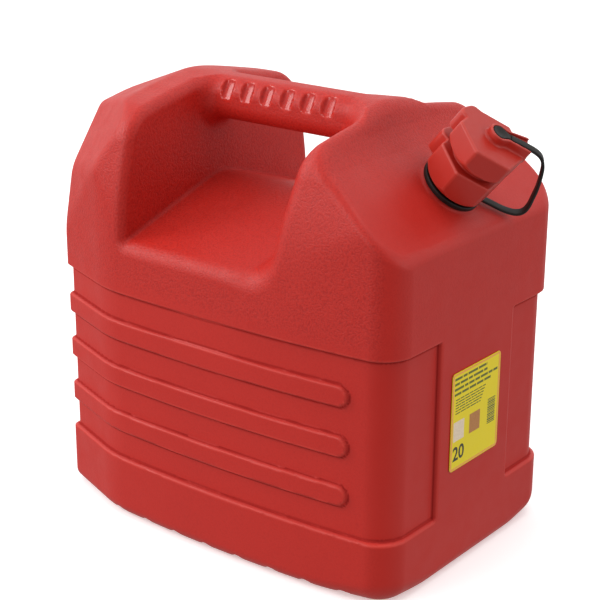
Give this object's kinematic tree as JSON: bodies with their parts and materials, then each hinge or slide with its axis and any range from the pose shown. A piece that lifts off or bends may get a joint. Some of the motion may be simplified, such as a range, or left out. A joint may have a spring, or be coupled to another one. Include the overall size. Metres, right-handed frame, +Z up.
{
  "type": "plastic jerrycan",
  "caption": "Blow-moulded fuel jerrycan with grip bridge, slanted neck, stored pouring spout, ring nut, screw cap and rubber tether.",
  "frame": {"origin": "on the floor, under the middle of the whole's box, cap and tether included", "axes": "+X towards the neck end, +Y across the can, +Z up"},
  "size_m": [0.3768, 0.244, 0.3584],
  "materials": {
    "red_hdpe": "moulded red polyethylene with a fine grain",
    "closure_red": "satin injection-moulded red plastic",
    "black_rubber": "satin black rubber",
    "black_plastic": "satin black plastic",
    "white_foam": "matt white foam",
    "label_film": "printed yellow film"
  },
  "bodies": {
    "container": {"container_body": "red_hdpe", "label": "label_film", "neck_seal": "black_rubber"},
    "spout": {"pouring_spout": "black_plastic"},
    "nut": {"spout_nut": "closure_red"},
    "tether": {"tether_ring": "black_rubber", "tether_strap": "black_rubber"},
    "cap": {"screw_cap": "closure_red", "cap_liner": "white_foam", "tether_eye": "black_rubber"}
  },
  "joints": [
    {"name": "nut_rise", "type": "slide", "parent": "container", "child": "spout", "axis": [0.6561, 0, 0.7547], "range_m": [0, 0.00801]},
    {"name": "nut_turn", "type": "hinge", "parent": "spout", "child": "nut", "pos_m": [0.12412, 0, 0.2954], "axis": [0.6561, 0, 0.7547], "range_deg": [0, 720]},
    {"name": "cap_turn", "type": "hinge", "parent": "nut", "child": "tether", "pos_m": [0.12412, 0, 0.2954], "axis": [0.6561, 0, 0.7547], "range_deg": [0, 720]},
    {"name": "cap_rise", "type": "slide", "parent": "tether", "child": "cap", "axis": [0.6561, 0, 0.7547], "range_m": [0, 0.00801], "deforming": ["tether_strap"]}
  ],
  "couplings": [
    {"joint": "nut_rise", "follows": "nut_turn", "m_per_rad": 0.00063662},
    {"joint": "cap_rise", "follows": "cap_turn", "m_per_rad": 0.00063662}
  ]
}
